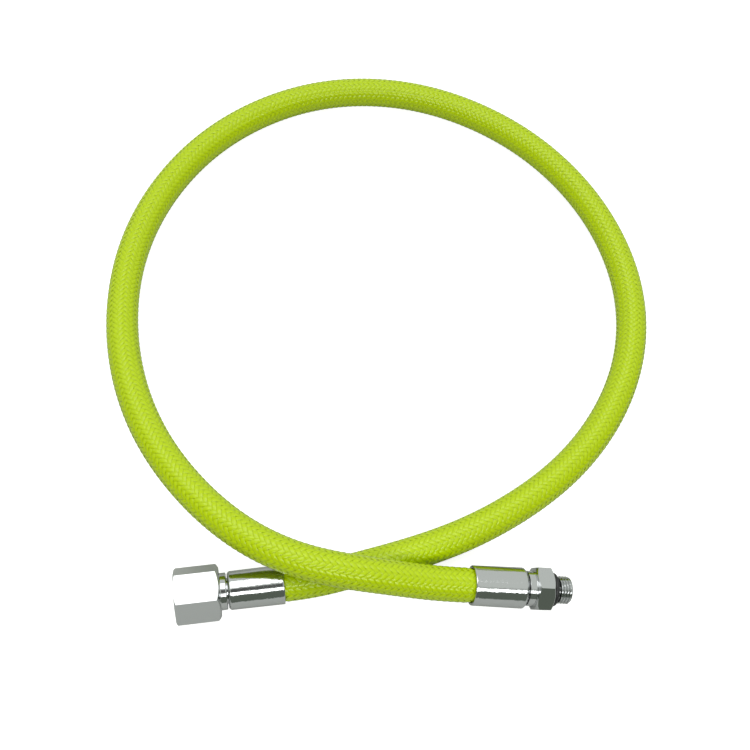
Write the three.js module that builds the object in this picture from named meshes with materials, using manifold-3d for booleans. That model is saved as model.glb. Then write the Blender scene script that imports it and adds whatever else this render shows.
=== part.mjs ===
// Diver's low-pressure regulator hose: a braided hose in one loose loop, with a screwed male end
// that fits a pressure port and a free-turning union nut on the other end.
// Millimetres, +Z up, the table at z = 0. The origin is under the middle of the two end fittings.

import * as THREE from 'three'
import { mergeVertices } from 'three/addons/utils/BufferGeometryUtils.js'
import Module from 'manifold-3d'

const wasm = await Module()
wasm.setup()

// ---------------------------------------------------------------- driving dimensions

const CLEARANCE = 0.3            // gap kept between pieces that touch on the real hose
const OVERRUN = 1                // how far a solid runs past a face when it is joined or cuts

// the hose, from the outside in
const COVER_OUTER_RADIUS = 6.0
const COVER_INNER_RADIUS = 5.0
const CRIMPED_RADIUS = 5.6       // the cover where a ferrule squeezes it
const BRAID_OUTER_RADIUS = 4.7
const BRAID_INNER_RADIUS = 4.2
const LINER_OUTER_RADIUS = 3.9
const LINER_BORE_RADIUS = 3.1
const HOSE_SIDES = 12
const HOSE_STEPS = 32

// the hose's centre line: control points of a cubic B-spline, male end first. The first three and
// the last three lie on straight lines, which are the axes of the two end fittings.
const ROUTE = [
  [50, 4, 9.15], [35, 4, 10.65], [20, 4, 12.15], [5.5, 4.5, 16.5], [-10, 5, 20.5],
  [-27.5, 8, 21], [-46.5, 17, 19], [-64.5, 32.5, 15.5], [-81, 53.5, 12.5], [-92.5, 79, 10],
  [-98, 107.5, 8], [-97, 136.5, 7], [-89, 164, 6], [-74.5, 188.5, 6], [-55, 207.5, 6],
  [-31.5, 221, 6], [-6.5, 227, 6], [19.5, 226, 6], [44, 218, 6], [66, 204.5, 6],
  [84, 186, 6], [97, 164, 6], [104.5, 139.5, 6], [105.5, 115, 6], [100, 91, 6],
  [89, 69.5, 6], [73.5, 50.5, 6], [54.5, 35.5, 6], [34.5, 24, 6], [14.5, 16, 6.5],
  [-4.5, 10, 7.5], [-20, 5, 8.5], [-34, 3, 8.5], [-48, 1, 8.5]
]

// both ends: heights along a fitting are counted from the mouth of its ferrule, outwards
const HOSE_DEPTH = 16.9          // how far the hose goes into a ferrule
const FERRULE_WALL = 2.0         // thickness of a ferrule's closed end
const FERRULE_BORE_RADIUS = 5.9
const FERRULE_HOLE_RADIUS = 4.6
const FERRULE_RIM = 0.25         // small chamfer round the mouth
const WAIST_RADIUS = 4.3         // the stem where it passes through the ferrule's closed end
const BARB_START = 2.0
const BARB_RADIUS = 2.7
const BARB_ROOT_RADIUS = 2.3
const BARB_COUNT = 4
const BARB_STEP = 0.2            // length of the steep side of a barb
const STEM_BORE_RADIUS = 1.8
const ORING_SECTION = 1.78

// male end, 3/8 inch - 24 UNF with a 9/16 inch hexagon
const MALE_FERRULE_LENGTH = 19.2
const MALE_FERRULE_MOUTH_RADIUS = 6.85
const MALE_FERRULE_END_RADIUS = 7.05
const MALE_FERRULE_CHAMFER = 1.0
const MALE_GAP = 0.35
const NECK_LENGTH = 2.6
const NECK_RADIUS = 6.0
const NECK_EDGE = 0.25
const MALE_HEX_ACROSS_FLATS = 14.29
const MALE_HEX_LENGTH = 6.1
const MALE_HEX_FACE_RADIUS = 6.9
const MALE_HEX_ROLL = 13        // degrees: the hexagon's top corner leans towards the front
const PORT_GLAND_RADIUS = 3.7
const PORT_ORING_CENTRE_RADIUS = 4.89
const MALE_THREAD_LENGTH = 4.8
const MALE_THREAD_MAJOR_RADIUS = 4.7625
const MALE_THREAD_DEPTH = 0.65
const MALE_THREAD_PITCH = 1.058
const MALE_THREAD_ROOT_TAPER = 0.6
const MALE_THREAD_TIP_TAPER = 0.7

// union end, 9/16 inch - 18 UNF inside a 17 mm hexagon
const UNION_FERRULE_LENGTH = 18.9
const UNION_FERRULE_MOUTH_RADIUS = 6.65
const UNION_FERRULE_END_RADIUS = 6.5
const UNION_FERRULE_CHAMFER = 0.7
const UNION_GAP = 0.35
const BOSS_LENGTH = 2.3
const BOSS_RADIUS = 6.2
const BOSS_EDGE = 0.5
const NUT_ACROSS_FLATS = 17.0
const NUT_ROLL = 30              // degrees: the nut lies on one of its flats
const NUT_HEX_LENGTH = 15.0
const NUT_REAR_FACE_RADIUS = 8.15
const NUT_FRONT_FACE_RADIUS = 9.0
const NUT_SHOULDER = 25.2        // the step inside the nut that pulls on the stem's flange
const NUT_UNDERCUT_RADIUS = 7.35
const NUT_THREAD_START = 28.2
const NUT_THREAD_MAJOR_RADIUS = 7.144
const NUT_THREAD_DEPTH = 0.764
const NUT_THREAD_PITCH = 1.411
const NUT_THREAD_LEAD_IN = 1     // depth of the widened mouth before the first full thread
const FLANGE_RADIUS = 6.05
const FLANGE_LENGTH = 2.4
const NOSE_RADIUS = 4.5
const NOSE_TIP = 31.7
const NOSE_GROOVE_START = 28.8
const NOSE_GROOVE_LENGTH = 2.4
const NOSE_GROOVE_RADIUS = 2.73
const NOSE_ORING_CENTRE_RADIUS = 3.92
const NOSE_EDGE = 0.4

// both threads, as shares of one pitch
const THREAD_CREST = 0.2
const THREAD_ROOT = 0.15
const THREAD_RELIEF = 0.2        // how far a chamfer reaches past a thread's crests or roots

const ROUND_SIDES = 28
const CHAMFER_SIDES = 48
const CORNER_MARGIN = 0.02       // keeps the turned blank of a hexagon clear of its corners
const THREAD_SIDES = 24
const THREAD_ROWS_PER_PITCH = 5
const RING_SECTION_SIDES = 10
const CHAMFER_SLOPE = Math.tan(THREE.MathUtils.degToRad(30))

// ---------------------------------------------------------------- materials

const metal = (color, roughness) => new THREE.MeshStandardMaterial({ color, roughness, metalness: 1 })
const plastic = (color, roughness) => new THREE.MeshStandardMaterial({ color, roughness, metalness: 0 })

const chrome = metal('#d8dadb', 0.12)
const coverYarn = plastic('#bfe31a', 0.5)
const strengthYarn = plastic('#e9e6dc', 0.7)
const polyurethane = plastic('#cfd3d4', 0.35)
const blackRubber = plastic('#17181a', 0.6)

// ---------------------------------------------------------------- solids

// A closed three.js geometry as a solid that can be joined and cut.
function solid (geometry) {
  const bare = geometry.clone()
  bare.deleteAttribute('normal')
  bare.deleteAttribute('uv')
  const merged = mergeVertices(bare, 1e-4)
  return new wasm.Manifold(new wasm.Mesh({
    numProp: 3,
    vertProperties: new Float32Array(merged.attributes.position.array),
    triVerts: new Uint32Array(merged.index.array)
  }))
}

// The three.js geometry of a solid.
function geometryOf (body) {
  const mesh = body.getMesh()
  const geometry = new THREE.BufferGeometry()
  geometry.setAttribute('position', new THREE.BufferAttribute(mesh.vertProperties, 3))
  geometry.setIndex(new THREE.BufferAttribute(mesh.triVerts, 1))
  return geometry
}

// A turned solid round the Y axis. Points are [radius, height], from the axis and back to it.
function turned (points, sides = ROUND_SIDES) {
  const outline = points.map(([radius, height]) => new THREE.Vector2(radius, height))
  return solid(new THREE.LatheGeometry(outline, sides))
}

// A plain round rod from one height to another.
function rod (radius, from, to) {
  return turned([[0, from], [radius, from], [radius, to], [0, to]])
}

// A hexagonal rod whose corners are cut back to a face of the given radius at each end.
function hexagon (acrossFlats, from, to, lowFaceRadius, highFaceRadius) {
  const corner = acrossFlats / Math.sqrt(3)
  const lowChamfer = (corner - lowFaceRadius) * CHAMFER_SLOPE
  const highChamfer = (corner - highFaceRadius) * CHAMFER_SLOPE
  const prism = new THREE.CylinderGeometry(corner, corner, to - from, 6)
  prism.translate(0, (from + to) / 2, 0)
  const outside = corner + CORNER_MARGIN
  const blank = turned([
    [0, from], [lowFaceRadius, from], [outside, from + lowChamfer],
    [outside, to - highChamfer], [highFaceRadius, to], [0, to]
  ], CHAMFER_SIDES)
  return solid(prism).intersect(blank)
}

// A rod with a screw thread on it: each point's radius follows the thread's 60 degree flanks.
function threadedRod (majorRadius, depth, pitch, from, to) {
  const rows = Math.ceil((to - from) / pitch * THREAD_ROWS_PER_PITCH)
  const geometry = new THREE.CylinderGeometry(majorRadius, majorRadius, to - from, THREAD_SIDES, rows)
  geometry.translate(0, (from + to) / 2, 0)
  const position = geometry.attributes.position
  for (let i = 0; i < position.count; i++) {
    const point = new THREE.Vector3().fromBufferAttribute(position, i)
    const radius = Math.hypot(point.x, point.z)
    if (radius < majorRadius / 2) continue
    const angle = Math.atan2(point.z, point.x) / (2 * Math.PI)
    const turn = Math.round(angle * THREAD_SIDES) / THREAD_SIDES
    const phase = THREE.MathUtils.euclideanModulo((point.y - from) / pitch + turn, 1)
    const fromCrest = Math.abs(phase - 0.5) * 2 - THREAD_CREST
    const flank = THREE.MathUtils.clamp(fromCrest / (1 - THREAD_CREST - THREAD_ROOT), 0, 1)
    const scale = (majorRadius - depth * flank) / radius
    position.setXYZ(i, point.x * scale, point.y, point.z * scale)
  }
  return solid(geometry)
}

// A rubber ring of round section.
function ring (centreRadius, height) {
  const points = []
  for (let i = 0; i <= RING_SECTION_SIDES; i++) {
    const angle = 2 * Math.PI * (i % RING_SECTION_SIDES) / RING_SECTION_SIDES
    points.push([
      centreRadius + ORING_SECTION / 2 * Math.cos(angle),
      height + ORING_SECTION / 2 * Math.sin(angle)
    ])
  }
  return turned(points)
}

// ---------------------------------------------------------------- the hose's route

const route = ROUTE.map(point => new THREE.Vector3(...point))

// The cubic B-spline that the route's points pull towards them. It starts and ends on the list's
// own first and last point.
class HoseCurve extends THREE.Curve {
  getPoint (t, target = new THREE.Vector3()) {
    const spans = route.length - 1
    const span = Math.min(Math.floor(t * spans), spans - 1)
    const u = t * spans - span
    const weights = [
      (1 - u) ** 3, 3 * u ** 3 - 6 * u ** 2 + 4, -3 * u ** 3 + 3 * u ** 2 + 3 * u + 1, u ** 3
    ]
    target.set(0, 0, 0)
    weights.forEach((weight, i) => target.addScaledVector(this.control(span + i - 1), weight / 6))
    return target
  }

  control (i) {
    const last = route.length - 1
    if (i < 0) return route[0].clone().multiplyScalar(2).sub(route[1])
    if (i > last) return route[last].clone().multiplyScalar(2).sub(route[last - 1])
    return route[i]
  }
}

const hoseCurve = new HoseCurve()

// One layer of the hose: a round wall between two radii, along the whole route.
function layer (outerRadius, innerRadius) {
  const outline = new THREE.Path().absarc(0, 0, outerRadius, 0, 2 * Math.PI)
  const bore = new THREE.Path().absarc(0, 0, innerRadius, 0, 2 * Math.PI, true)
  const wall = new THREE.Shape(outline.getPoints(HOSE_SIDES / 2))
  wall.holes.push(new THREE.Path(bore.getPoints(HOSE_SIDES / 2)))
  return new THREE.ExtrudeGeometry(wall, { steps: HOSE_STEPS, extrudePath: hoseCurve })
}

// ---------------------------------------------------------------- placing the end fittings

// The frame of an end fitting: +Y points out of the hose along the fitting's axis, the height 0 is
// the mouth of the ferrule, and +Z is as near to straight up as the axis allows.
function fittingFrame (end, next, roll) {
  const axis = end.clone().sub(next).normalize()
  const side = axis.clone().cross(new THREE.Vector3(0, 0, 1)).normalize()
  const up = side.clone().cross(axis)
  const mouth = end.clone().addScaledVector(axis, -HOSE_DEPTH)
  const frame = new THREE.Matrix4().makeBasis(side, axis, up).setPosition(mouth)
  return frame.multiply(new THREE.Matrix4().makeRotationY(THREE.MathUtils.degToRad(roll)))
}

const last = route.length - 1
const maleFrame = fittingFrame(route[0], route[1], MALE_HEX_ROLL)
const unionFrame = fittingFrame(route[last], route[last - 1], NUT_ROLL)

const hose = new THREE.Group()
const maleEnd = new THREE.Group()
const unionEnd = new THREE.Group()
maleEnd.applyMatrix4(maleFrame)
unionEnd.applyMatrix4(unionFrame)
hose.add(maleEnd, unionEnd)

function piece (group, name, geometry, material) {
  const mesh = new THREE.Mesh(geometry, material)
  mesh.name = name
  group.add(mesh)
}

// ---------------------------------------------------------------- hose layers

// The sleeve of space round each hose end that the crimped ferrule takes from the cover.
function crimp (frame) {
  const end = HOSE_DEPTH + OVERRUN
  const sleeve = rod(COVER_OUTER_RADIUS + 2 * OVERRUN, -CLEARANCE, end)
    .subtract(rod(CRIMPED_RADIUS, -CLEARANCE - OVERRUN, end + OVERRUN))
  return sleeve.transform(frame.elements)
}

const cover = solid(layer(COVER_OUTER_RADIUS, COVER_INNER_RADIUS))
  .subtract(crimp(maleFrame))
  .subtract(crimp(unionFrame))

piece(hose, 'hose_cover_braid', geometryOf(cover), coverYarn)
piece(hose, 'hose_reinforcement_braid', layer(BRAID_OUTER_RADIUS, BRAID_INNER_RADIUS), strengthYarn)
piece(hose, 'hose_liner_tube', layer(LINER_OUTER_RADIUS, LINER_BORE_RADIUS), polyurethane)

// ---------------------------------------------------------------- ferrules

// A crimped sleeve: open at the mouth, with a closed end that grips the stem's waist.
function ferrule (length, mouthRadius, endRadius, chamfer) {
  const blank = turned([
    [0, 0], [mouthRadius - FERRULE_RIM, 0], [mouthRadius, FERRULE_RIM],
    [endRadius, length - chamfer], [endRadius - chamfer, length], [0, length]
  ])
  return blank
    .subtract(rod(FERRULE_BORE_RADIUS, -OVERRUN, length - FERRULE_WALL))
    .subtract(rod(FERRULE_HOLE_RADIUS, 0, length + OVERRUN))
}

piece(maleEnd, 'male_end_ferrule', geometryOf(ferrule(
  MALE_FERRULE_LENGTH, MALE_FERRULE_MOUTH_RADIUS, MALE_FERRULE_END_RADIUS, MALE_FERRULE_CHAMFER
)), chrome)

piece(unionEnd, 'union_end_ferrule', geometryOf(ferrule(
  UNION_FERRULE_LENGTH, UNION_FERRULE_MOUTH_RADIUS, UNION_FERRULE_END_RADIUS, UNION_FERRULE_CHAMFER
)), chrome)

// ---------------------------------------------------------------- stems

// The barbed tail that the hose is pushed over, up to the waist inside the ferrule's closed end.
function barbedTail (ferruleLength) {
  const end = ferruleLength - FERRULE_WALL
  const pitch = (end - BARB_START) / (BARB_COUNT + 1)
  const points = [[0, BARB_START], [BARB_ROOT_RADIUS, BARB_START]]
  for (let i = 1; i <= BARB_COUNT; i++) {
    const step = BARB_START + i * pitch
    points.push([BARB_RADIUS, step], [BARB_ROOT_RADIUS, step + BARB_STEP])
  }
  points.push([BARB_ROOT_RADIUS, end + BARB_STEP / 2], [WAIST_RADIUS, end + BARB_STEP / 2])
  return points
}

function maleStem () {
  const neckStart = MALE_FERRULE_LENGTH + MALE_GAP
  const hexStart = neckStart + NECK_LENGTH
  const hexEnd = hexStart + MALE_HEX_LENGTH
  const threadStart = hexEnd + ORING_SECTION + 2 * CLEARANCE
  const tip = threadStart + MALE_THREAD_LENGTH
  const core = turned([
    ...barbedTail(MALE_FERRULE_LENGTH), [WAIST_RADIUS, neckStart],
    [NECK_RADIUS - NECK_EDGE, neckStart], [NECK_RADIUS, neckStart + NECK_EDGE],
    [NECK_RADIUS, hexStart + OVERRUN], [PORT_GLAND_RADIUS, hexStart + OVERRUN],
    [PORT_GLAND_RADIUS, threadStart + OVERRUN], [0, threadStart + OVERRUN]
  ])
  const hex = hexagon(
    MALE_HEX_ACROSS_FLATS, hexStart, hexEnd, MALE_HEX_FACE_RADIUS, MALE_HEX_FACE_RADIUS
  )
  const minorRadius = MALE_THREAD_MAJOR_RADIUS - MALE_THREAD_DEPTH
  const outside = MALE_THREAD_MAJOR_RADIUS + THREAD_RELIEF
  const taperedEnds = turned([
    [0, threadStart], [minorRadius, threadStart], [outside, threadStart + MALE_THREAD_ROOT_TAPER],
    [outside, tip - MALE_THREAD_TIP_TAPER], [minorRadius, tip], [0, tip]
  ])
  const thread = threadedRod(
    MALE_THREAD_MAJOR_RADIUS, MALE_THREAD_DEPTH, MALE_THREAD_PITCH, threadStart, tip
  ).intersect(taperedEnds)
  return core.add(hex).add(thread).subtract(rod(STEM_BORE_RADIUS, 0, tip + OVERRUN))
}

function unionStem () {
  const flangeStart = NUT_SHOULDER + CLEARANCE
  const flangeEnd = flangeStart + FLANGE_LENGTH
  const grooveEnd = NOSE_GROOVE_START + NOSE_GROOVE_LENGTH
  const tipRadius = NOSE_RADIUS - NOSE_EDGE
  const body = turned([
    ...barbedTail(UNION_FERRULE_LENGTH), [WAIST_RADIUS, flangeStart], [FLANGE_RADIUS, flangeStart],
    [FLANGE_RADIUS, flangeEnd], [NOSE_RADIUS, flangeEnd], [NOSE_RADIUS, NOSE_GROOVE_START],
    [NOSE_GROOVE_RADIUS, NOSE_GROOVE_START], [NOSE_GROOVE_RADIUS, grooveEnd],
    [tipRadius, grooveEnd], [tipRadius, NOSE_TIP], [0, NOSE_TIP]
  ])
  return body.subtract(rod(STEM_BORE_RADIUS, 0, NOSE_TIP + OVERRUN))
}

piece(maleEnd, 'male_stem', geometryOf(maleStem()), chrome)
piece(unionEnd, 'union_stem', geometryOf(unionStem()), chrome)

// ---------------------------------------------------------------- union nut

function unionNut () {
  const rear = UNION_FERRULE_LENGTH + UNION_GAP
  const hexStart = rear + BOSS_LENGTH
  const front = hexStart + NUT_HEX_LENGTH
  const minorRadius = NUT_THREAD_MAJOR_RADIUS - NUT_THREAD_DEPTH
  const mouthRadius = NUT_THREAD_MAJOR_RADIUS + THREAD_RELIEF
  const boss = turned([
    [0, rear], [BOSS_RADIUS - BOSS_EDGE, rear], [BOSS_RADIUS, rear + BOSS_EDGE],
    [BOSS_RADIUS, hexStart + OVERRUN], [0, hexStart + OVERRUN]
  ])
  const hex = hexagon(
    NUT_ACROSS_FLATS, hexStart, front, NUT_REAR_FACE_RADIUS, NUT_FRONT_FACE_RADIUS
  )
  const cavity = turned([
    [0, NUT_SHOULDER], [NUT_UNDERCUT_RADIUS, NUT_SHOULDER], [NUT_UNDERCUT_RADIUS, NUT_THREAD_START],
    [minorRadius, NUT_THREAD_START + NUT_THREAD_DEPTH], [minorRadius, front - NUT_THREAD_LEAD_IN],
    [mouthRadius, front - THREAD_RELIEF], [mouthRadius, front + OVERRUN], [0, front + OVERRUN]
  ])
  const thread = threadedRod(
    NUT_THREAD_MAJOR_RADIUS, NUT_THREAD_DEPTH, NUT_THREAD_PITCH,
    NUT_THREAD_START - OVERRUN / 2, front + OVERRUN / 2
  )
  return boss.add(hex)
    .subtract(rod(WAIST_RADIUS + CLEARANCE, rear - OVERRUN, NUT_SHOULDER + OVERRUN))
    .subtract(cavity)
    .subtract(thread)
}

piece(unionEnd, 'union_nut', geometryOf(unionNut()), chrome)

// ---------------------------------------------------------------- rubber rings

const portRingHeight = MALE_FERRULE_LENGTH + MALE_GAP + NECK_LENGTH + MALE_HEX_LENGTH +
  CLEARANCE + ORING_SECTION / 2
const noseRingHeight = NOSE_GROOVE_START + NOSE_GROOVE_LENGTH / 2

piece(maleEnd, 'port_o_ring', geometryOf(ring(PORT_ORING_CENTRE_RADIUS, portRingHeight)), blackRubber)
piece(unionEnd, 'nose_o_ring', geometryOf(ring(NOSE_ORING_CENTRE_RADIUS, noseRingHeight)), blackRubber)

export default hose
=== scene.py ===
# A diver's low-pressure regulator hose, 0.79 m long: a braided hose in one loose loop, with a screwed
# male end and a free-turning union nut. Metres, +Z up, lying on a table at z = 0.
import math

import bmesh
import bpy
from mathutils import Matrix, Vector


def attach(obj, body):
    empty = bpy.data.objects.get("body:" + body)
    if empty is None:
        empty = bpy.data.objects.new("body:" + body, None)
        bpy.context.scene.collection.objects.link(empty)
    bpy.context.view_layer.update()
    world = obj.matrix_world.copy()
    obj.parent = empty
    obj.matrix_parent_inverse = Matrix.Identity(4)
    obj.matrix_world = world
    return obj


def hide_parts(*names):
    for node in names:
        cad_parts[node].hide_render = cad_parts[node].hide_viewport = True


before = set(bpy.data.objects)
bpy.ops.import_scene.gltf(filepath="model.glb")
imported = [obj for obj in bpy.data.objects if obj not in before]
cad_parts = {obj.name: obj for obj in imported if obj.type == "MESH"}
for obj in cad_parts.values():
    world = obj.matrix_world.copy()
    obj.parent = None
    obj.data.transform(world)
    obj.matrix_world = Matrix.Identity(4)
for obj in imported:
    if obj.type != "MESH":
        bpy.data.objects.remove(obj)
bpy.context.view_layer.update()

# Camera: a short telephoto held close above the table, looking down on the loop from the side of the
# two end fittings, with a slight roll.
scene = bpy.context.scene
lens = bpy.data.cameras.new("camera")
lens.sensor_width = 36
lens.lens = 48
lens.clip_start = 0.01
camera = bpy.data.objects.new("camera", lens)
camera.location = (-0.032, -0.0844, 0.3475)
camera.rotation_euler = (math.radians(26.4), math.radians(-5.4), 0)
scene.collection.objects.link(camera)
scene.camera = camera

# The hose's lie: cut to length, bent into one loop, and let go on the table. Both ends run straight
# into their fittings, and near the fittings the strand to the male end rises over the other one.
# The points pull a cubic B-spline towards them, male end first.
MM = 0.001
STEPS_PER_SPAN = 64          # fine steps that measure the length between two points of the route
ROUTE = [Vector(point) for point in (
    (0.05, 0.004, 0.00915), (0.035, 0.004, 0.01065), (0.02, 0.004, 0.01215),
    (0.0055, 0.0045, 0.0165), (-0.01, 0.005, 0.0205), (-0.0275, 0.008, 0.021),
    (-0.0465, 0.017, 0.019), (-0.0645, 0.0325, 0.0155), (-0.081, 0.0535, 0.0125),
    (-0.0925, 0.079, 0.01), (-0.098, 0.1075, 0.008), (-0.097, 0.1365, 0.007),
    (-0.089, 0.164, 0.006), (-0.0745, 0.1885, 0.006), (-0.055, 0.2075, 0.006),
    (-0.0315, 0.221, 0.006), (-0.0065, 0.227, 0.006), (0.0195, 0.226, 0.006),
    (0.044, 0.218, 0.006), (0.066, 0.2045, 0.006), (0.084, 0.186, 0.006),
    (0.097, 0.164, 0.006), (0.1045, 0.1395, 0.006), (0.1055, 0.115, 0.006),
    (0.1, 0.091, 0.006), (0.089, 0.0695, 0.006), (0.0735, 0.0505, 0.006),
    (0.0545, 0.0355, 0.006), (0.0345, 0.024, 0.006), (0.0145, 0.016, 0.0065),
    (-0.0045, 0.01, 0.0075), (-0.02, 0.005, 0.0085), (-0.034, 0.003, 0.0085),
    (-0.048, 0.001, 0.0085),
)]


def route_point(t):
    """The point of the spline at t, counted in spans from the first point of the route."""
    span = min(int(t), len(ROUTE) - 2)
    u = t - span
    points = [2 * ROUTE[0] - ROUTE[1], *ROUTE, 2 * ROUTE[-1] - ROUTE[-2]]
    weights = ((1 - u) ** 3, 3 * u ** 3 - 6 * u ** 2 + 4, -3 * u ** 3 + 3 * u ** 2 + 3 * u + 1, u ** 3)
    return sum((weight / 6 * points[span + i] for i, weight in enumerate(weights)), Vector())


def along_hose(rows):
    """Evenly spaced places from end to end: distance, point, direction and two ways across."""
    spans = len(ROUTE) - 1
    fine = [route_point(i / STEPS_PER_SPAN) for i in range(STEPS_PER_SPAN * spans + 1)]
    reached = [0.0]
    for start, end in zip(fine, fine[1:]):
        reached.append(reached[-1] + (end - start).length)
    places, piece = [], 0
    for row in range(rows + 1):
        distance = reached[-1] * row / rows
        while piece < len(fine) - 2 and reached[piece + 1] < distance:
            piece += 1
        share = (distance - reached[piece]) / (reached[piece + 1] - reached[piece])
        direction = (fine[min(piece + 2, len(fine) - 1)] - fine[max(piece - 1, 0)]).normalized()
        if places:
            across = places[-1][2].rotation_difference(direction) @ places[-1][3]
        else:
            across = direction.cross(Vector((0, 0, 1))).normalized()
        point = fine[piece].lerp(fine[piece + 1], share)
        places.append((distance, point, direction, across, direction.cross(across)))
    return places


# Shade sleeve: a tube just under the cover's yarns, on the reinforcement, whose dark yellow-green is
# painted shade standing in for the shade deep between the yarns. It shows only deep between the yarns.
SLEEVE_RADIUS = 5.35 * MM
COVER_BORE_RADIUS = 5.0 * MM
HOSE_DEPTH = 16.9 * MM       # how far each end of the hose goes into its ferrule
CRIMP = 0.42                 # the share of its thickness that the cover loses inside a ferrule
CRIMP_TAPER = 1.2 * MM       # the length before a ferrule's mouth along which the squeeze sets in
SLEEVE_ROWS = 380
HOSE_SIDES = 48
WELD = 0.001 * MM            # vertices closer than this become one


def linear(hex_colour):
    """An sRGB hex colour as the linear RGBA that shaders take."""
    channels = [int(hex_colour[i:i + 2], 16) / 255 for i in (1, 3, 5)]
    return [c / 12.92 if c < 0.04045 else ((c + 0.055) / 1.055) ** 2.4 for c in channels] + [1]


def add(tree, kind, settings, inputs):
    """A new node with its settings and inputs, each a value or another node's output socket."""
    node = tree.nodes.new("ShaderNode" + kind)
    for name, value in settings.items():
        setattr(node, name, value)
    for socket, value in inputs.items():
        if isinstance(value, bpy.types.NodeSocket):
            tree.links.new(value, node.inputs[socket])
        else:
            node.inputs[socket].default_value = value
    return node.outputs


def new_material(name):
    """A material by this name, and its empty node tree."""
    material = bpy.data.materials.new(name)
    material.use_nodes = True
    material.node_tree.nodes.clear()
    return material, material.node_tree


def add_piece(bm, name, material, body="hose_assembly", sharp=30):
    """The finished bmesh as an object that rides on a body. Edges sharper than the angle stay crisp."""
    for face in bm.faces:
        face.smooth = True
    for edge in bm.edges:
        edge.smooth = not edge.is_manifold or edge.calc_face_angle() < math.radians(sharp)
    mesh = bpy.data.meshes.new(name)
    bm.to_mesh(mesh)
    bm.free()
    mesh.materials.append(material)
    piece = bpy.data.objects.new(name, mesh)
    scene.collection.objects.link(piece)
    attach(piece, body)
    return piece


def rolled_grid(bm, rows, sides, place):
    """A grid rolled into an open tube: place(row, side) says where each vertex goes."""
    made = bmesh.ops.create_grid(bm, x_segments=rows, y_segments=sides, size=0.5, calc_uvs=True)
    for vert in made["verts"]:
        row = round((vert.co.x + 0.5) * rows)
        side = round((vert.co.y + 0.5) * sides) % sides
        vert.co = place(row, side)
    bmesh.ops.remove_doubles(bm, verts=made["verts"], dist=WELD)


def crimped(radius, distance, length):
    """A radius in the hose as the ferrules leave it: they squeeze the cover on to what lies inside."""
    inside = HOSE_DEPTH - min(distance, length - distance)
    share = max(0.0, min(1.0, 1 + inside / CRIMP_TAPER))
    squeeze = CRIMP * share * share * (3 - 2 * share)
    return radius - squeeze * max(0.0, radius - COVER_BORE_RADIUS)


def hose_layer(outer, inner):
    """A closed round wall along the whole hose."""
    bm = bmesh.new()
    bm.loops.layers.uv.new("UVMap")
    places = along_hose(SLEEVE_ROWS)
    length = places[-1][0]
    for radius in (outer, inner):
        def place(row, side):
            distance, point, _, across, over = places[row]
            angle = 2 * math.pi * side / HOSE_SIDES
            return point + crimped(radius, distance, length) * (
                math.cos(angle) * across + math.sin(angle) * over)
        rolled_grid(bm, SLEEVE_ROWS, HOSE_SIDES, place)
    for end in (places[0][1], places[-1][1]):
        rim = [e for e in bm.edges if e.is_boundary and (e.verts[0].co - end).length < outer * 1.1]
        bmesh.ops.bridge_loops(bm, edges=rim)
    bmesh.ops.recalc_face_normals(bm, faces=bm.faces)
    return bm


# Painted shade on polyester: a matt yellow-green, darkened as painted shade for the gaps between the
# yarns, with a mottling of about 1 mm.
shade_painted_polyester, tree = new_material("shade_painted_polyester")
grain = add(tree, "TexNoise", {}, {
    "Vector": add(tree, "TexCoord", {}, {})["Object"], "Scale": 0.9 / MM, "Detail": 2})
tint = add(tree, "Mix", {"data_type": "RGBA"}, {
    0: grain["Fac"], 6: linear("#7d8a08"), 7: linear("#98a40e")})
cloth = add(tree, "BsdfPrincipled", {}, {"Base Color": tint["Result"], "Roughness": 0.7, "IOR": 1.57})
add(tree, "OutputMaterial", {}, {"Surface": cloth["BSDF"]})

shade_painted_sleeve = add_piece(
    hose_layer(SLEEVE_RADIUS, COVER_BORE_RADIUS), "shade_painted_sleeve", shade_painted_polyester)
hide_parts("hose_cover_braid")

# Cover yarns: fluorescent yellow-green polyester, flat bundles of fine filaments. A 32-carrier machine
# braids 16 yarns each way round the hose, each passing over two and under two of the others.
COVER_RADIUS = 6.0 * MM      # over the crowns of the yarns
YARNS_EACH_WAY = 16
CROSSINGS = 680              # along one yarn, from end to end of the hose
ROWS_PER_CROSSING = 2
YARN_WIDTH = 1.66 * MM
YARN_THICKNESS = 0.3 * MM
YARN_SIDES = 8
YARN_GROUPS = 4              # the meshes that the yarns are shared out to
YARN_BULGE = math.sqrt(2)    # the middle of each float stands higher than the crossings on both sides
YARN_RADIUS = COVER_RADIUS - YARN_THICKNESS / 2 * (1 + YARN_BULGE)    # where two yarns touch

yarn_places = along_hose(CROSSINGS * ROWS_PER_CROSSING)
hose_length = yarn_places[-1][0]
crossing_step = math.pi / YARNS_EACH_WAY
yarn_slant = math.atan(crossing_step * YARN_RADIUS * CROSSINGS / hose_length)
yarn_length = hose_length / math.cos(yarn_slant)


def add_yarn(bm, index, turn):
    """One yarn, wound round the hose in the direction of turn, woven in and out as it goes."""
    def place(row, side):
        distance, point, direction, across, over = yarn_places[row]
        number = 2 * index + turn * row / ROWS_PER_CROSSING
        angle = number * crossing_step
        outward = math.cos(angle) * across + math.sin(angle) * over
        around = math.cos(angle) * over - math.sin(angle) * across
        sideways = math.cos(yarn_slant) * around - turn * math.sin(yarn_slant) * direction
        wave = max(-1.0, YARN_BULGE * turn * math.sin(math.pi / 2 * (number + 0.5)))
        section = 2 * math.pi * side / YARN_SIDES
        reach = YARN_RADIUS + YARN_THICKNESS / 2 * (wave + math.sin(section))
        return (point + crimped(reach, distance, hose_length) * outward
                + YARN_WIDTH / 2 * math.cos(section) * sideways)
    rolled_grid(bm, CROSSINGS * ROWS_PER_CROSSING, YARN_SIDES, place)


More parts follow.
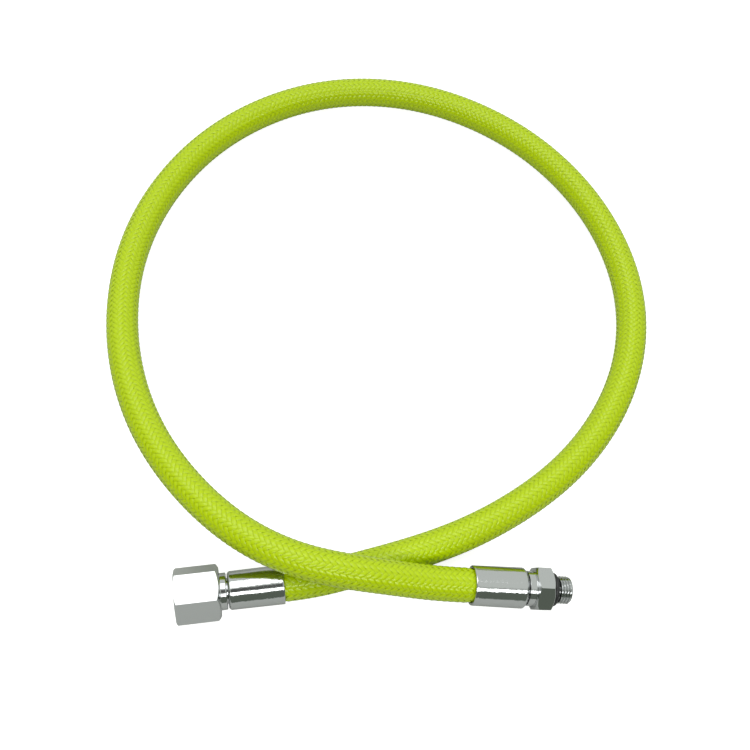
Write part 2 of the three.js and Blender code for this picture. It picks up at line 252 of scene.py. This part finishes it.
def yarn_group(first):
    """Every fourth yarn, in both directions. The map counts millimetres along a yarn and turns round
    it, with whole turns added that tell the yarns apart, so that no two share a pattern."""
    bm = bmesh.new()
    uv = bm.loops.layers.uv.new("UVMap")
    for turn in (1, -1):
        for index in range(first, YARNS_EACH_WAY, YARN_GROUPS):
            known = len(bm.faces)
            add_yarn(bm, index, turn)
            bm.faces.ensure_lookup_table()
            for face in bm.faces[known:]:
                for loop in face.loops:
                    along, across = loop[uv].uv
                    loop[uv].uv = (along * yarn_length / MM, across + index + 100 * turn)
    bmesh.ops.holes_fill(bm, edges=[edge for edge in bm.edges if edge.is_boundary])
    bmesh.ops.recalc_face_normals(bm, faces=bm.faces)
    return bm


# Glossy polyester: silky and saturated, with painted light along the crown of each yarn and painted shade
# down its sides. Filaments of 0.02 mm are too fine to show, so they are drawn as streaks about a
# millimetre long, nine of them round the yarn.
STREAKS_PER_MM = 0.9
STREAKS_ROUND = 9
glossy_polyester, tree = new_material("glossy_polyester_yarn")
yarn_map = add(tree, "TexCoord", {}, {})["UV"]
strands = add(tree, "Mapping", {}, {"Vector": yarn_map, "Scale": (STREAKS_PER_MM, STREAKS_ROUND, 1)})
filaments = add(tree, "TexNoise", {}, {"Vector": strands["Vector"], "Scale": 1, "Detail": 3})
turns = add(tree, "SeparateXYZ", {}, {"Vector": yarn_map})["Y"]
angle = add(tree, "Math", {"operation": "MULTIPLY"}, {0: turns, 1: 2 * math.pi})
height = add(tree, "Math", {"operation": "SINE"}, {0: angle["Value"]})
# Painted light and shade: the crown of each yarn's section takes the light tint and its sides the dark
# one.
crown = add(tree, "MapRange", {}, {
    "Value": height["Value"], "From Min": -0.1, "From Max": 0.8, "To Min": 0, "To Max": 0.45})
# The random tone of the filament streaks plus the painted crown light and side shade.
grain_and_painted_shading = add(tree, "Math", {"operation": "MULTIPLY_ADD"}, {
    0: filaments["Fac"], 1: 0.5, 2: crown["Result"]})
tint = add(tree, "Mix", {"data_type": "RGBA"}, {
    0: grain_and_painted_shading["Value"], 6: linear("#9aad03"), 7: linear("#c3e005")})
fibre = add(tree, "Bump", {}, {"Height": filaments["Fac"], "Distance": 0.05 * MM, "Strength": 0.6})
cloth = add(tree, "BsdfPrincipled", {}, {
    "Base Color": tint["Result"], "Roughness": 0.18, "IOR": 1.57, "Specular IOR Level": 0.3,
    "Normal": fibre["Normal"]})
add(tree, "OutputMaterial", {}, {"Surface": cloth["BSDF"]})

cover_yarns = [
    add_piece(yarn_group(first), f"cover_yarns_{first + 1}", glossy_polyester, sharp=100)
    for first in range(YARN_GROUPS)]

# Reinforcement: undyed high-strength polyester braided tight over the liner. It carries the pressure,
# and the cover hides it.
REINFORCEMENT_RADII = (4.7 * MM, 4.2 * MM)

# Undyed polyester: matt off-white, mottled at the 0.7 mm spacing of its yarns.
undyed_polyester, tree = new_material("undyed_polyester")
weave = add(tree, "TexNoise", {}, {
    "Vector": add(tree, "TexCoord", {}, {})["Object"], "Scale": 1.5 / MM, "Detail": 2})
tint = add(tree, "Mix", {"data_type": "RGBA"}, {
    0: weave["Fac"], 6: linear("#cfcabd"), 7: linear("#f0ede4")})
cloth = add(tree, "BsdfPrincipled", {}, {"Base Color": tint["Result"], "Roughness": 0.75, "IOR": 1.57})
add(tree, "OutputMaterial", {}, {"Surface": cloth["BSDF"]})

reinforcement = add_piece(
    hose_layer(*REINFORCEMENT_RADII), "reinforcement_sleeve", undyed_polyester)
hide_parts("hose_reinforcement_braid")

# Liner: an extruded polyurethane tube that holds the breathing gas. The barbed tails of the two stems
# are pushed into its ends.
LINER_RADII = (3.9 * MM, 3.1 * MM)

# Extruded polyurethane: smooth and milky, with a pale haze that drifts every 3 mm.
polyurethane, tree = new_material("extruded_polyurethane")
haze = add(tree, "TexNoise", {}, {
    "Vector": add(tree, "TexCoord", {}, {})["Object"], "Scale": 0.3 / MM, "Detail": 1})
tint = add(tree, "Mix", {"data_type": "RGBA"}, {
    0: haze["Fac"], 6: linear("#c9cfd0"), 7: linear("#dde1e1")})
skin = add(tree, "BsdfPrincipled", {}, {"Base Color": tint["Result"], "Roughness": 0.3, "IOR": 1.5})
add(tree, "OutputMaterial", {}, {"Surface": skin["BSDF"]})

liner = add_piece(hose_layer(*LINER_RADII), "liner_tube", polyurethane)
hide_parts("hose_liner_tube")

# Ferrules: brass cups, turned, chrome plated and crimped on by a press with eight jaws, which leave
# faint flats. The open mouth has a rounded lip, and the closed end grips the stem.
# In every fitting, heights run outwards from the ferrule's mouth, in millimetres.
FERRULE_WALL = 2.0
FERRULE_BORE_RADIUS = 5.9
FERRULE_HOLE_RADIUS = 4.6
FERRULE_LIP = 1.0            # the straight stretch above the mouth, before the flats
FERRULE_SEAM = 3.0           # the height in the bore where a ferrule's outline begins
MALE_FERRULE_LENGTH = 19.2
MALE_FERRULE_SHAPE = (6.85, 7.05, 1.0)     # radius at the mouth and at the closed end, and chamfer
UNION_FERRULE_LENGTH = 18.9
UNION_FERRULE_SHAPE = (6.65, 6.5, 0.7)
COLUMNS = 96                 # round a turned piece, 16 to each side of a hexagon
CRIMP_JAWS = 8
CRIMP_FLATNESS = 0.035


def fitting_frame(end, before):
    """The place of a fitting: X up, Z outwards along its axis, the origin at its ferrule's mouth."""
    axis = (end - before).normalized()
    side = axis.cross(Vector((0, 0, 1))).normalized()
    up = side.cross(axis)
    turned = Matrix((up, side, axis)).transposed().to_4x4()
    return Matrix.Translation(end - HOSE_DEPTH * axis) @ turned @ Matrix.Scale(MM, 4)


male_frame = fitting_frame(ROUTE[0], ROUTE[1])
union_frame = fitting_frame(ROUTE[-1], ROUTE[-2])


def softened(points, size=0.18, steps=3):
    """A chain of (radius, height) points with each sharp corner between its ends made an arc."""
    chain = [Vector(point) for point in points]
    smooth = [chain[0]]
    for before, corner, after in zip(chain, chain[1:], chain[2:]):
        back, on = before - corner, after - corner
        cut = min(size, 0.4 * back.length, 0.4 * on.length)
        start, end = corner + cut * back.normalized(), corner + cut * on.normalized()
        for i in range(steps + 1):
            u = i / steps
            smooth.append((1 - u) ** 2 * start + 2 * u * (1 - u) * corner + u * u * end)
    return [tuple(point) for point in (*smooth, chain[-1])]


def spun(outline, first_angle=0.0):
    """A closed shell spun once round Z from a closed outline of (radius, height) points."""
    bm = bmesh.new()
    turn = Matrix.Rotation(first_angle, 3, "Z")
    verts = [bm.verts.new(turn @ Vector((radius, 0, height))) for radius, height in outline]
    edges = [bm.edges.new(pair) for pair in zip(verts, verts[1:] + verts[:1])]
    bmesh.ops.spin(
        bm, geom=verts + edges, axis=(0, 0, 1), cent=(0, 0, 0), angle=2 * math.pi,
        steps=COLUMNS, use_merge=True)
    bmesh.ops.recalc_face_normals(bm, faces=bm.faces)
    return bm


def set_radius(vert, radius):
    """Moves a vertex straight in or out to this radius."""
    scale = radius / math.hypot(vert.co.x, vert.co.y)
    vert.co.x *= scale
    vert.co.y *= scale


def ferrule(length, mouth_radius, end_radius, chamfer):
    """A crimped cup, with the jaws' flats between its lip and its chamfer."""
    outside = softened([
        (FERRULE_BORE_RADIUS, FERRULE_SEAM), (FERRULE_BORE_RADIUS, 0), (mouth_radius, 0),
        (mouth_radius, FERRULE_LIP), (end_radius, length - chamfer), (end_radius - chamfer, length),
        (FERRULE_HOLE_RADIUS, length), (FERRULE_HOLE_RADIUS, length - FERRULE_WALL)],
        size=0.35, steps=4)
    bm = spun(outside + [(FERRULE_BORE_RADIUS, length - FERRULE_WALL)])
    for vert in bm.verts:
        radius = math.hypot(vert.co.x, vert.co.y)
        outside_bore = radius > FERRULE_BORE_RADIUS + 0.3
        if outside_bore and FERRULE_LIP - 0.1 < vert.co.z < length - chamfer / 2:
            angle = math.atan2(vert.co.y, vert.co.x)
            set_radius(vert, radius - CRIMP_FLATNESS * (1 + math.cos(CRIMP_JAWS * angle)) / 2)
    return bm


# Bright chrome on turned brass: a neutral mirror, which faint smears dull in patches. Tool marks
# 0.06 mm apart stretch its reflections along the piece, broad unevenness bends them, and ripples 1 mm
# across break them up, deeper where the crimping press has worked the metal.
TOOL_MARKS = 5               # the wave texture draws 3.2 rings to a millimetre for each unit of scale
CRIMPED_RIPPLE = 0.03        # the depth of the ripples, in millimetres
TURNED_RIPPLE = 0.006


def chrome_plate(name, place, ripple):
    """Chrome whose pattern is laid out in the fitting's own millimetres."""
    material, tree = new_material(name)
    local = add(tree, "Mapping", {"vector_type": "TEXTURE"}, {
        "Vector": add(tree, "TexCoord", {}, {})["Object"],
        "Location": place.to_translation(), "Rotation": place.to_euler(), "Scale": (MM, MM, MM)})
    rings = add(tree, "TexWave", {"bands_direction": "Z"}, {
        "Vector": local["Vector"], "Scale": TOOL_MARKS, "Distortion": 0.6, "Detail": 2})
    smears = add(tree, "TexNoise", {}, {"Vector": local["Vector"], "Scale": 0.35, "Detail": 4})
    dents = add(tree, "TexNoise", {}, {"Vector": local["Vector"], "Scale": 0.22, "Detail": 2})
    gloss = add(tree, "MapRange", {}, {"Value": smears["Fac"], "To Min": 0.05, "To Max": 0.13})
    ripples = add(tree, "TexNoise", {}, {"Vector": local["Vector"], "Scale": 0.9, "Detail": 3})
    broad = add(tree, "Bump", {}, {"Height": dents["Fac"], "Distance": 0.05 * MM, "Strength": 1.0})
    uneven = add(tree, "Bump", {}, {
        "Height": ripples["Fac"], "Distance": ripple * MM, "Strength": 1.0, "Normal": broad["Normal"]})
    fine = add(tree, "Bump", {}, {
        "Height": rings["Fac"], "Distance": 0.002 * MM, "Strength": 0.5, "Normal": uneven["Normal"]})
    metal = add(tree, "BsdfPrincipled", {}, {
        "Base Color": linear("#c6c8c9"), "Metallic": 1, "Roughness": gloss["Result"],
        "Normal": fine["Normal"]})
    add(tree, "OutputMaterial", {}, {"Surface": metal["BSDF"]})
    return material


def add_fitting(bm, name, place, material, replaced, body="hose_assembly", sharp=30):
    """Sets a fitting's piece in its place and lets its large faces rule its shading."""
    bmesh.ops.transform(bm, matrix=place, verts=bm.verts)
    bmesh.ops.remove_doubles(bm, verts=bm.verts, dist=WELD)
    piece = add_piece(bm, name, material, body, sharp)
    weighted = piece.modifiers.new("weighted", "WEIGHTED_NORMAL")
    weighted.keep_sharp = True
    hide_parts(replaced)
    return piece


male_ferrule = add_fitting(
    ferrule(MALE_FERRULE_LENGTH, *MALE_FERRULE_SHAPE), "male_ferrule_crimped", male_frame,
    chrome_plate("crimped_chrome_male_end", male_frame, CRIMPED_RIPPLE),
    "male_end_ferrule")
union_ferrule = add_fitting(
    ferrule(UNION_FERRULE_LENGTH, *UNION_FERRULE_SHAPE), "union_ferrule_crimped", union_frame,
    chrome_plate("crimped_chrome_union_end", union_frame, CRIMPED_RIPPLE),
    "union_end_ferrule")

# Male stem: one piece of chrome-plated brass. Its barbed tail is pushed into the liner, a hexagon
# takes a 9/16 inch spanner, and a 3/8 inch-24 thread beyond a plain gland screws into the port.
GAP = 0.35                   # between a ferrule and what stands behind it
CLEARANCE = 0.3              # between pieces that touch or slide
WAIST_RADIUS = 4.3           # where the stem passes through the ferrule's closed end
BORE_RADIUS = 1.8
BORE_SEAM = (8.0, 8.5)       # heights in the bore where a stem's outline begins and ends
BARB_RADIUS = 2.7
BARB_ROOT_RADIUS = 2.3
BARB_BACK = 0.2              # the height of the slope behind each barb
BARB_START = 2.0
BARBS = 4
ORING_SECTION = 1.78
NECK_RADIUS = 6.0
GLAND_RADIUS = 3.7
TIP_CHAMFER = 0.4            # in the mouth of the bore
MALE_HEX_ROLL = math.radians(13)
MALE_HEX_ACROSS = 14.29
MALE_HEX_FACE_RADIUS = 6.9
HEX_START = MALE_FERRULE_LENGTH + GAP + 2.6
HEX_END = HEX_START + 6.1
MALE_THREAD_START = HEX_END + ORING_SECTION + 2 * CLEARANCE
MALE_TIP = MALE_THREAD_START + 4.8
MALE_THREAD = (4.7625, 0.65, 1.058)    # major radius, depth and pitch
RUN_OUT = 0.6                # the length in which the thread sinks away towards the gland
LEAD_IN = 0.7                # the length of the taper that starts it at the tip
CREST_SHARE = 0.15           # of half a thread's pitch, the flat of its crest
FLANK_SHARE = 0.68           # and its sloping flank
ROWS_PER_PITCH = 16
THREAD_END_GAP = 0.05        # from a thread's first and last ring to the faces beside them
HEX_EDGE = 0.1               # width of the worn edge round a hexagon's sides
CHAMFER_SLOPE = math.tan(math.radians(30))
RING_STEP = 0.01             # between the rings of an unshaped hexagon
HAIR = 0.001                 # how near two sizes are when they count as the same


def barbed_tail(ferrule_length):
    """The outline of the stem inside the hose, from its bore to the back of the ferrule's end."""
    end = ferrule_length - FERRULE_WALL
    pitch = (end - BARB_START) / (BARBS + 1)
    points = [(BORE_RADIUS, BORE_SEAM[0]), (BORE_RADIUS, BARB_START), (BARB_ROOT_RADIUS, BARB_START)]
    for i in range(1, BARBS + 1):
        crest = BARB_START + i * pitch
        points += [(BARB_RADIUS, crest), (BARB_ROOT_RADIUS, crest + BARB_BACK)]
    waist = end + 0.1
    return points + [(BARB_ROOT_RADIUS, waist), (WAIST_RADIUS, waist)]


def hexagon_rings(across, low, high):
    """Four rings at the corner radius, which shape_hexagon turns into flats and chamfers."""
    corner = across / math.sqrt(3)
    heights = (low + RING_STEP, low + 2 * RING_STEP, high - 2 * RING_STEP, high - RING_STEP)
    return [(corner, height) for height in heights]


def shape_hexagon(bm, across, low, high, low_face, high_face, roll):
    """Presses the rings into six flats whose ends are cut back by 30 degree chamfers."""
    corner = across / math.sqrt(3)
    for vert in bm.verts:
        radius = math.hypot(vert.co.x, vert.co.y)
        angle = (math.atan2(vert.co.y, vert.co.x) - roll) % (math.pi / 3) - math.pi / 6
        flat = across / 2 / math.cos(angle)
        inner = flat - HEX_EDGE
        if radius > corner - HAIR:
            from_low, from_high = vert.co.z - low, high - vert.co.z
            end, face, sign = (low, low_face, 1) if from_low < from_high else (high, high_face, -1)
            on_flat = min(from_low, from_high) > 1.5 * RING_STEP
            reach = flat if on_flat else inner
            depth = max(0.0, reach - face) * CHAMFER_SLOPE + on_flat * HEX_EDGE
            set_radius(vert, reach)
            vert.co.z = end + sign * depth
        elif radius > inner and min(abs(vert.co.z - low), abs(vert.co.z - high)) < HAIR:
            set_radius(vert, inner)


def thread_rows(radius, low, high, pitch):
    """The rings of a thread, as close together as its groove needs."""
    rows = math.ceil((high - low) / pitch * ROWS_PER_PITCH)
    return [(radius, low + (high - low) * i / rows) for i in range(rows + 1)]


def thread_depth(vert, low, pitch):
    """How deep the right-handed thread's groove is there, from 0 on the crest to 1 at the root."""
    phase = ((vert.co.z - low) / pitch - math.atan2(vert.co.y, vert.co.x) / (2 * math.pi)) % 1
    return max(0.0, min(1.0, (abs(phase - 0.5) * 2 - CREST_SHARE) / FLANK_SHARE))


def male_stem():
    """The stem turned from its tail to its tip, then milled to a hexagon and threaded."""
    major, depth, pitch = MALE_THREAD
    root = major - depth
    neck = MALE_FERRULE_LENGTH + GAP
    tail = softened(barbed_tail(MALE_FERRULE_LENGTH) + [
        (WAIST_RADIUS, neck), (NECK_RADIUS, neck), (NECK_RADIUS, HEX_START),
        (MALE_HEX_FACE_RADIUS, HEX_START)])
    gland = softened([
        (MALE_HEX_FACE_RADIUS, HEX_END), (GLAND_RADIUS, HEX_END), (GLAND_RADIUS, MALE_THREAD_START),
        (root, MALE_THREAD_START)])
    thread = thread_rows(
        major + HAIR, MALE_THREAD_START + THREAD_END_GAP, MALE_TIP - THREAD_END_GAP, pitch)
    tip = softened([
        (root, MALE_TIP), (BORE_RADIUS + TIP_CHAMFER, MALE_TIP), (BORE_RADIUS, MALE_TIP - TIP_CHAMFER),
        (BORE_RADIUS, BORE_SEAM[1])])
    rings = hexagon_rings(MALE_HEX_ACROSS, HEX_START, HEX_END)
    bm = spun(tail + rings + gland + thread + tip, MALE_HEX_ROLL)
    shape_hexagon(
        bm, MALE_HEX_ACROSS, HEX_START, HEX_END, MALE_HEX_FACE_RADIUS, MALE_HEX_FACE_RADIUS, MALE_HEX_ROLL)
    for vert in bm.verts:
        if vert.co.z > MALE_THREAD_START and math.hypot(vert.co.x, vert.co.y) > major:
            run_out = root + (vert.co.z - MALE_THREAD_START) / RUN_OUT * depth
            lead_in = root + (MALE_TIP - vert.co.z) / LEAD_IN * depth
            groove = major - depth * thread_depth(vert, MALE_THREAD_START, pitch)
            set_radius(vert, min(groove, run_out, lead_in))
    return bm


stem_piece = add_fitting(
    male_stem(), "male_stem_turned", male_frame,
    chrome_plate("turned_chrome_male_end", male_frame, TURNED_RIPPLE), "male_stem",
    sharp=25)

# Union stem: turned brass like the other, with a flange that the nut pulls on and a grooved nose that
# slips into the inlet. Only its nose shows, deep in the nut.
NUT_SHOULDER = 25.2          # the face inside the nut that pulls on the flange
FLANGE_RADIUS = 6.05
FLANGE_START = NUT_SHOULDER + CLEARANCE
FLANGE_END = FLANGE_START + 2.4
GROOVE_RADIUS = 2.73
GROOVE_START = 28.8
GROOVE_END = GROOVE_START + 2.4
NOSE_RADIUS = 4.5
NOSE_LIP_RADIUS = 4.1        # beyond the groove
NOSE_TIP = 31.7
NOSE_CHAMFER = 0.3           # in the mouth of the bore

union_outline = softened(barbed_tail(UNION_FERRULE_LENGTH) + [
    (WAIST_RADIUS, FLANGE_START), (FLANGE_RADIUS, FLANGE_START), (FLANGE_RADIUS, FLANGE_END),
    (NOSE_RADIUS, FLANGE_END), (NOSE_RADIUS, GROOVE_START), (GROOVE_RADIUS, GROOVE_START),
    (GROOVE_RADIUS, GROOVE_END), (NOSE_LIP_RADIUS, GROOVE_END), (NOSE_LIP_RADIUS, NOSE_TIP),
    (BORE_RADIUS + NOSE_CHAMFER, NOSE_TIP), (BORE_RADIUS, NOSE_TIP - NOSE_CHAMFER),
    (BORE_RADIUS, BORE_SEAM[1])], size=0.12)
union_chrome = chrome_plate("turned_chrome_union_end", union_frame, TURNED_RIPPLE)
union_stem_piece = add_fitting(
    spun(union_outline), "union_stem_turned", union_frame, union_chrome, "union_stem")

# Union nut: chrome-plated brass, a 17 mm hexagon with a round boss behind, bored out and threaded
# 9/16 inch-18 inside. It turns freely on the union stem.
NUT_ROLL = math.radians(30)
NUT_ACROSS = 17.0
NUT_REAR = UNION_FERRULE_LENGTH + GAP
NUT_HEX_START = NUT_REAR + 2.3
NUT_FRONT = NUT_HEX_START + 15.0
NUT_REAR_FACE_RADIUS = 8.15
NUT_FRONT_FACE_RADIUS = 9.0
NUT_HOLE_RADIUS = WAIST_RADIUS + CLEARANCE
BOSS_RADIUS = 6.2
CAVITY_RADIUS = 7.35         # behind the thread, where the flange turns
CAVITY_END = 28.2
NUT_THREAD = (7.144, 0.764, 1.411)     # major radius, depth and pitch
NUT_THREAD_START = CAVITY_END + 0.6    # the cavity closes to the thread in a cone
NUT_MOUTH_RADIUS = NUT_THREAD[0] + 0.2    # the wide end of the countersink that starts the thread


def union_nut():
    """The nut turned from its bored back to its face, then milled to a hexagon and threaded."""
    major, depth, pitch = NUT_THREAD
    minor = major - depth
    rear = softened([
        (NUT_HOLE_RADIUS, NUT_SHOULDER - 1), (NUT_HOLE_RADIUS, NUT_REAR), (BOSS_RADIUS, NUT_REAR),
        (BOSS_RADIUS, NUT_HEX_START), (NUT_REAR_FACE_RADIUS, NUT_HEX_START)], size=0.4, steps=4)
    rings = hexagon_rings(NUT_ACROSS, NUT_HEX_START, NUT_FRONT)
    face = [(NUT_FRONT_FACE_RADIUS, NUT_FRONT), (NUT_MOUTH_RADIUS, NUT_FRONT)]
    wall = thread_rows(minor, NUT_FRONT - THREAD_END_GAP, NUT_THREAD_START, -pitch)
    cavity = [
        (CAVITY_RADIUS, CAVITY_END), (CAVITY_RADIUS, NUT_SHOULDER), (NUT_HOLE_RADIUS, NUT_SHOULDER)]
    bm = spun(rear + rings + face + wall + cavity, NUT_ROLL)
    shape_hexagon(
        bm, NUT_ACROSS, NUT_HEX_START, NUT_FRONT, NUT_REAR_FACE_RADIUS, NUT_FRONT_FACE_RADIUS, NUT_ROLL)
    for vert in bm.verts:
        height = vert.co.z - NUT_THREAD_START
        if height > -0.1 and math.hypot(vert.co.x, vert.co.y) < minor + HAIR:
            groove = minor
            if height > 0.1:
                groove += depth * (1 - thread_depth(vert, CAVITY_END, pitch))
            countersink = NUT_MOUTH_RADIUS - (NUT_FRONT - vert.co.z)
            set_radius(vert, max(groove, countersink))
    return bm


nut_piece = add_fitting(
    union_nut(), "union_nut_turned", union_frame, union_chrome, "union_nut",
    body="union_nut", sharp=25)

# O-rings: moulded rubber, 1.78 mm thick. One sits between the male hexagon and its thread, the other in
# the groove of the union's nose.
PORT_RING_RADIUS = 4.89      # to the middle of the ring's section
NOSE_RING_RADIUS = 3.92
RING_SIDES = 24

# Moulded nitrile rubber: satin black, with the faint 0.25 mm grain of a clean mould.
nitrile, tree = new_material("moulded_nitrile_rubber")
grain = add(tree, "TexNoise", {}, {
    "Vector": add(tree, "TexCoord", {}, {})["Object"], "Scale": 4 / MM, "Detail": 3})
skin = add(tree, "Bump", {}, {"Height": grain["Fac"], "Distance": 0.01 * MM, "Strength": 0.5})
tone = add(tree, "Mix", {"data_type": "RGBA"}, {
    0: grain["Fac"], 6: linear("#161718"), 7: linear("#232425")})
rubber = add(tree, "BsdfPrincipled", {}, {
    "Base Color": tone["Result"], "Roughness": 0.45, "IOR": 1.52, "Normal": skin["Normal"]})
add(tree, "OutputMaterial", {}, {"Surface": rubber["BSDF"]})


def o_ring(radius, height):
    """A ring of round section at this height in its fitting."""
    angles = [2 * math.pi * i / RING_SIDES for i in range(RING_SIDES)]
    return spun([(radius + ORING_SECTION / 2 * math.cos(angle),
                  height + ORING_SECTION / 2 * math.sin(angle)) for angle in angles])


port_ring = add_fitting(
    o_ring(PORT_RING_RADIUS, HEX_END + CLEARANCE + ORING_SECTION / 2), "port_ring", male_frame,
    nitrile, "port_o_ring")
nose_ring = add_fitting(
    o_ring(NOSE_RING_RADIUS, (GROOVE_START + GROOVE_END) / 2), "nose_ring", union_frame,
    nitrile, "nose_o_ring")

# The points along the middle of the whole hose, from end to end, worked out and not used.
[place[1] for place in along_hose(SLEEVE_ROWS)]

# Floor and light: a white table under two soft boxes, as in a small studio.
bm = bmesh.new()
bmesh.ops.create_grid(bm, x_segments=1, y_segments=1, size=3)
mesh = bpy.data.meshes.new("table_top")
bm.to_mesh(mesh)
bm.free()
table = bpy.data.objects.new("table_top", mesh)
scene.collection.objects.link(table)

# White board: it glows for the camera, so that no shadow greys it, and shows in polished metal as the
# pale grey that the soft light gives it.
white_board, tree = new_material("white_board")
seen = add(tree, "LightPath", {}, {})["Is Camera Ray"]
glow = add(tree, "Math", {"operation": "MULTIPLY"}, {0: seen, 1: 0.85})
board = add(tree, "BsdfPrincipled", {}, {
    "Base Color": linear("#c0c1bf"), "Roughness": 0.9, "Specular IOR Level": 0.2,
    "Emission Color": linear("#ffffff"), "Emission Strength": glow["Value"]})
add(tree, "OutputMaterial", {}, {"Surface": board["BSDF"]})
mesh.materials.append(white_board)


def soft_box(name, place, size, radiance):
    """A rectangular soft box facing the fittings, as bright all over as the radiance says."""
    light = bpy.data.lights.new(name, "AREA")
    light.shape = "RECTANGLE"
    light.size, light.size_y = size
    light.energy = radiance * math.pi * size[0] * size[1]
    lamp = bpy.data.objects.new(name, light)
    lamp.location = place
    lamp.rotation_euler = (-Vector(place)).to_track_quat("-Z", "Y").to_euler()
    scene.collection.objects.link(lamp)


soft_box("overhead_box", place=(-0.12, 0.3, 0.95), size=(0.8, 0.6), radiance=2.0)
soft_box("front_strip", place=(0, -0.64, 0.82), size=(1.1, 0.3), radiance=4.5)

# Room: pale above and behind the table, darker at the sides and in front, and dark where the camera
# hangs over it. The hose and the metal see the room, and the camera sees plain white.
ABOVE_AND_BEHIND = (0, 0.6, 0.8)
TOWARDS_CAMERA = Vector((-0.03, -0.27, 0.95)).normalized()

world = bpy.data.worlds.new("studio")
scene.world = world
world.use_nodes = True
sky = world.node_tree
sky.nodes.clear()
direction = add(sky, "TexCoord", {}, {})["Generated"]
rise = add(sky, "VectorMath", {"operation": "DOT_PRODUCT"}, {0: direction, 1: ABOVE_AND_BEHIND})
pale = add(sky, "MapRange", {"interpolation_type": "SMOOTHSTEP"}, {
    "Value": rise["Value"], "From Min": 0.2, "From Max": 0.6, "To Min": 0, "To Max": 1})
walls = add(sky, "Mix", {"data_type": "RGBA"}, {
    0: pale["Result"], 6: linear("#6a7267"), 7: linear("#e4e8e2")})
nearness = add(sky, "VectorMath", {"operation": "DOT_PRODUCT"}, {0: direction, 1: TOWARDS_CAMERA})
open_air = add(sky, "MapRange", {"interpolation_type": "SMOOTHSTEP"}, {
    "Value": nearness["Value"], "From Min": 0.97, "From Max": 0.99, "To Min": 1, "To Max": 0.15})
room = add(sky, "Background", {}, {"Color": walls["Result"], "Strength": open_air["Result"]})
plain = add(sky, "Background", {}, {"Color": linear("#ffffff"), "Strength": 1.0})
view = add(sky, "MixShader", {}, {
    0: add(sky, "LightPath", {}, {})["Is Camera Ray"], 1: room["Background"], 2: plain["Background"]})
add(sky, "OutputWorld", {}, {"Surface": view["Shader"]})
scene.view_settings.view_transform = "Standard"
